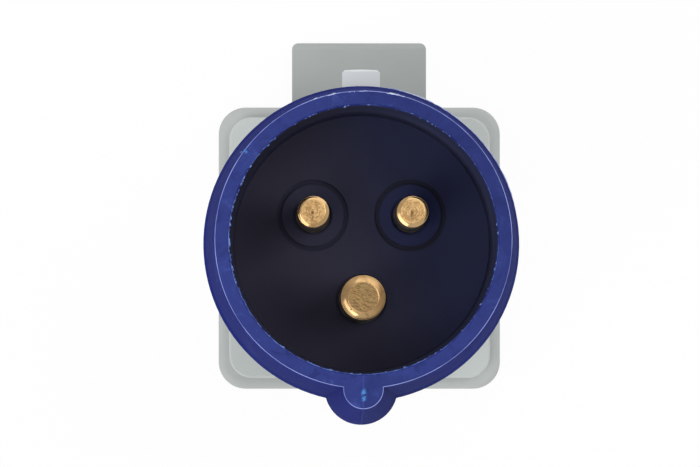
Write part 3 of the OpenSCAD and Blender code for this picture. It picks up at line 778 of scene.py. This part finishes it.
def makeCurl(name, path, size, seedValue, look):
    place = random.Random(seedValue)
    points, radii = [], []
    steps = 6
    for i in range(len(path) - 1):
        for k in range(steps):
            p = Vector(path[i]).lerp(Vector(path[i + 1]), k / steps)
            stray = Vector((place.uniform(-1, 1), place.uniform(-1, 1), place.uniform(-0.3, 0.3)))
            points.append(p + stray * size * 0.5)
            radii.append(size * place.uniform(0.5, 1.1))
    points.append(Vector(path[-1]))
    radii.append(size * 0.25)
    radii[0] = size * 0.2
    for p, radius in zip(points, radii):
        p.z = min(p.z, adapter["length"] - radius)      # nothing stands above the mouth
    piece = tube(name, points, radii, 7, "body")
    piece.data.materials.append(look)


def makeMarks():
    top = adapter["length"]
    x, y = marks["scuffAt"]
    for n, (dx, dy, size) in enumerate(marks["scuffs"]):
        path = [(x + dx - 0.12, y + dy + 0.35, top - 0.02), (x + dx + 0.1, y + dy, top),
                (x + dx - 0.02, y + dy - 0.35, top - 0.02)]
        makeCurl("keyScuff_%d" % n, path, size, 30 + n, flashLook)
    angle = math.radians(marks["curlAngle"])
    ux, uy = math.cos(angle), math.sin(angle)
    path = [(ux * radius, uy * radius + added, top - depth) for radius, added, depth in marks["curlPath"]]
    makeCurl("edgeCurl", path, marks["curlSize"], 12, flashLook)
    # small bright bits on the top edge, as painted highlights
    place = random.Random(21)
    for n in range(marks["edgeBits"]):
        turnAngle = math.radians(place.uniform(*marks["edgeBitsFrom"]))
        r = marks["edgeBitRadius"] + place.uniform(-0.1, 0.06)
        p = roundAt(r, turnAngle, top - 0.1)
        along = Vector((-math.sin(turnAngle), math.cos(turnAngle), 0)) * place.uniform(0.15, 0.6)
        path = [tuple(p - along), tuple(p), tuple(p + along)]
        makeCurl("topEdgeBit_%d" % n, path, place.uniform(0.07, 0.13), 50 + n, paleHighlightLook)


makeFlash()
makeBurrs()
makeCollarHighlight()
makeMarks()
print("flash and marks laid on")

studio = {
    "distance": 1.2,
    "lean": (-0.00833, -0.01706),       # how far the camera stands left of and below the plug's axis
    "aim": (-2.10, 0.93),               # point of the mouth's plane at the middle of the picture
    "lens": 396.8,
    "worldStrength": 0.6,
    "floorGlow": 0.95,
    "lampAim": (0, 0, 0.05),
}
lamps = {                               # place, size and power, in metres and watts
    "keyLamp": ((-0.66, -0.54, 0.72), (1.0, 0.4), 3.7),
    "backLamp": ((0.3, 0.85, 0.85), (1.4, 0.8), 3.3),
    "leftLamp": ((-0.3, -0.22, 1.15), (0.35, 0.35), 1.2),
    "rightLamp": ((0.45, 0.12, 1.1), (0.4, 0.4), 1.9),
}


def seenDirectly(tree):
    # 1 for what the camera sees, also by way of gloss or glass
    path = tree.nodes.new("ShaderNodeLightPath")
    total = path.outputs["Is Camera Ray"]
    for ray in ("Is Glossy Ray", "Is Transmission Ray"):
        either = tree.nodes.new("ShaderNodeMath")
        either.operation = "MAXIMUM"
        tree.links.new(total, either.inputs[0])
        tree.links.new(path.outputs[ray], either.inputs[1])
        total = either.outputs[0]
    return total


def makeStage():
    mesh = bpy.data.meshes.new("floorSheet")
    work = bmesh.new()
    bmesh.ops.create_grid(work, x_segments=1, y_segments=1, size=1.5)
    work.to_mesh(mesh)
    work.free()
    floor = bpy.data.objects.new("floorSheet", mesh)
    bpy.context.scene.collection.objects.link(floor)
    floor.location.z = -0.02 * mm       # just clear of the lid's underside
    mat = bpy.data.materials.new("paleFloor")
    mat.use_nodes = True
    tree = mat.node_tree
    shader = tree.nodes["Principled BSDF"]
    shader.inputs["Base Color"].default_value = (0.9, 0.9, 0.9, 1)
    shader.inputs["Roughness"].default_value = 0.9
    glow = tree.nodes.new("ShaderNodeEmission")
    glow.inputs["Strength"].default_value = 1.0
    share = tree.nodes.new("ShaderNodeMath")
    share.operation = "MULTIPLY"
    share.inputs[1].default_value = studio["floorGlow"]
    tree.links.new(seenDirectly(tree), share.inputs[0])
    mix = tree.nodes.new("ShaderNodeMixShader")
    tree.links.new(share.outputs[0], mix.inputs[0])
    tree.links.new(shader.outputs[0], mix.inputs[1])
    tree.links.new(glow.outputs[0], mix.inputs[2])
    tree.links.new(mix.outputs[0], tree.nodes["Material Output"].inputs[0])
    mesh.materials.append(mat)


def makeCamera():
    lensData = bpy.data.cameras.new("camera")
    camera = bpy.data.objects.new("camera", lensData)
    bpy.context.scene.collection.objects.link(camera)
    lensData.lens = studio["lens"]
    lensData.sensor_width = 36
    lensData.clip_start, lensData.clip_end = 0.05, 20
    mouth = Vector((0, 0, adapter["length"] * mm))
    lean = Vector((studio["lean"][0], studio["lean"][1], 1.0))
    camera.location = mouth + lean * studio["distance"]
    target = mouth + Vector((studio["aim"][0], studio["aim"][1], 0)) * mm
    ahead = (target - camera.location).normalized()
    right = ahead.cross(Vector((0, 1, 0))).normalized()
    camera.rotation_euler = Matrix((right, right.cross(ahead), -ahead)).transposed().to_euler()
    bpy.context.scene.camera = camera


def makeLamp(name, place, size, power):
    data = bpy.data.lights.new(name, "AREA")
    data.shape = "RECTANGLE"
    data.size, data.size_y = size
    data.energy = power
    lamp = bpy.data.objects.new(name, data)
    bpy.context.scene.collection.objects.link(lamp)
    lamp.location = place
    lamp.rotation_euler = (Vector(studio["lampAim"]) - lamp.location).to_track_quat("-Z", "Y").to_euler()


def makeWorld():
    world = bpy.data.worlds.new("studio")
    bpy.context.scene.world = world
    world.use_nodes = True
    tree = world.node_tree
    back = tree.nodes["Background"]
    back.inputs[0].default_value = (1, 1, 1, 1)
    back.inputs[1].default_value = studio["worldStrength"]
    seen = tree.nodes.new("ShaderNodeBackground")
    seen.inputs[1].default_value = 1.0
    mix = tree.nodes.new("ShaderNodeMixShader")
    tree.links.new(seenDirectly(tree), mix.inputs[0])
    tree.links.new(back.outputs[0], mix.inputs[1])
    tree.links.new(seen.outputs[0], mix.inputs[2])
    tree.links.new(mix.outputs[0], tree.nodes["World Output"].inputs[0])


makeStage()
makeCamera()
makeWorld()
for name, (place, size, power) in lamps.items():
    makeLamp(name, place, size, power)
bpy.context.scene.view_settings.view_transform = "Standard"
print("stage, camera and lamps set")
